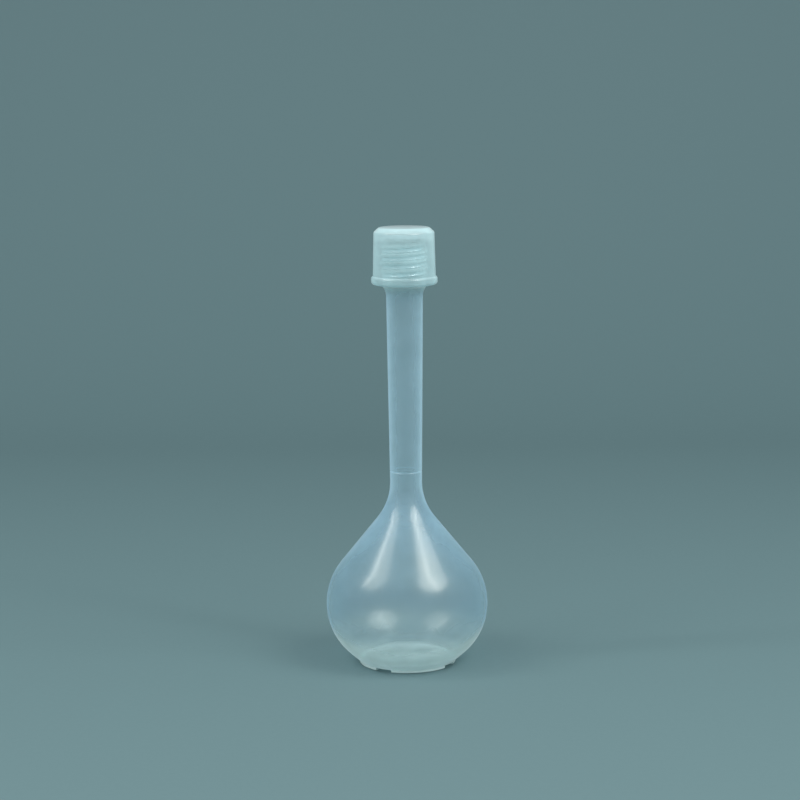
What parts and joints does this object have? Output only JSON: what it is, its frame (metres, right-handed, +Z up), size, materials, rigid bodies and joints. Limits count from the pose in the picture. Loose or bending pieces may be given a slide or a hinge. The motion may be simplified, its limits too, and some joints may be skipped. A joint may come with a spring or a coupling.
{
  "type": "volumetric flask",
  "caption": "Translucent plastic volumetric flask with a round bulb, a long neck with a ring mark, a notched foot ring and a screw cap with a sealing disc.",
  "frame": {"origin": "centre of the foot ring's underside, on the flask's axis", "axes": "+Z up along the flask's axis, through the middle of the cap; -Y towards the viewer of the picture"},
  "size_m": [0.061, 0.061, 0.165],
  "materials": {
    "flask_plastic": "smooth, milky translucent fluoropolymer",
    "cap_plastic": "smooth, milky translucent fluoropolymer, thicker and whiter than the flask",
    "seal_plastic": "matt white fluoropolymer sheet"
  },
  "bodies": {
    "vessel": {"flask": "flask_plastic"},
    "seal": {"sealing_disc": "seal_plastic"},
    "cap": {"screw_cap": "cap_plastic"}
  },
  "joints": [
    {"name": "cap_lift", "type": "slide", "parent": "vessel", "child": "seal", "axis": [0, 0, 1], "range_m": [0, 0.02101]},
    {"name": "cap_turn", "type": "hinge", "parent": "seal", "child": "cap", "pos_m": [0, 0, 0.1539], "axis": [0, 0, 1], "range_deg": [0, 2520]}
  ],
  "couplings": [
    {"joint": "cap_lift", "follows": "cap_turn", "m_per_rad": 0.00047746}
  ]
}
